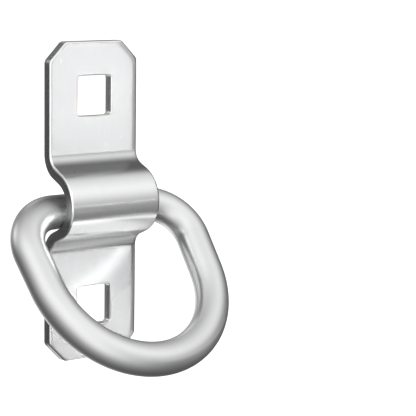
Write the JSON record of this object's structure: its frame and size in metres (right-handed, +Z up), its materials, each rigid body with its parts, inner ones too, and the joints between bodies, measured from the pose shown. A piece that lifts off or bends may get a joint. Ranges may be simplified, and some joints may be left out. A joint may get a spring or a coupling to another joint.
{
  "type": "d ring tie down",
  "caption": "Bolt-on tie-down: a flat steel strap with square bolt holes, bent into a hump that holds a swinging round-bar D ring.",
  "frame": {"origin": "on the mounting face, halfway between the two square holes", "axes": "+Y into the wall that the strap is bolted to, so the hump and the ring stand out towards -Y; +Z up along the strap's length; X along the ring's straight bar"},
  "size_m": [0.064, 0.0408, 0.0896],
  "materials": {
    "zinc_strap": "bright zinc plate on rolled steel, satin",
    "zinc_ring": "bright zinc plate on drawn steel bar, satin"
  },
  "bodies": {
    "strap": {"mounting_strap": "zinc_strap"},
    "ring": {"d_ring": "zinc_ring"}
  },
  "joints": [
    {"name": "ring_swing", "type": "hinge", "parent": "strap", "child": "ring", "pos_m": [0, -0.00495, -0.00173], "axis": [-1, 0, 0], "range_deg": [-38.2, 136.1]}
  ]
}
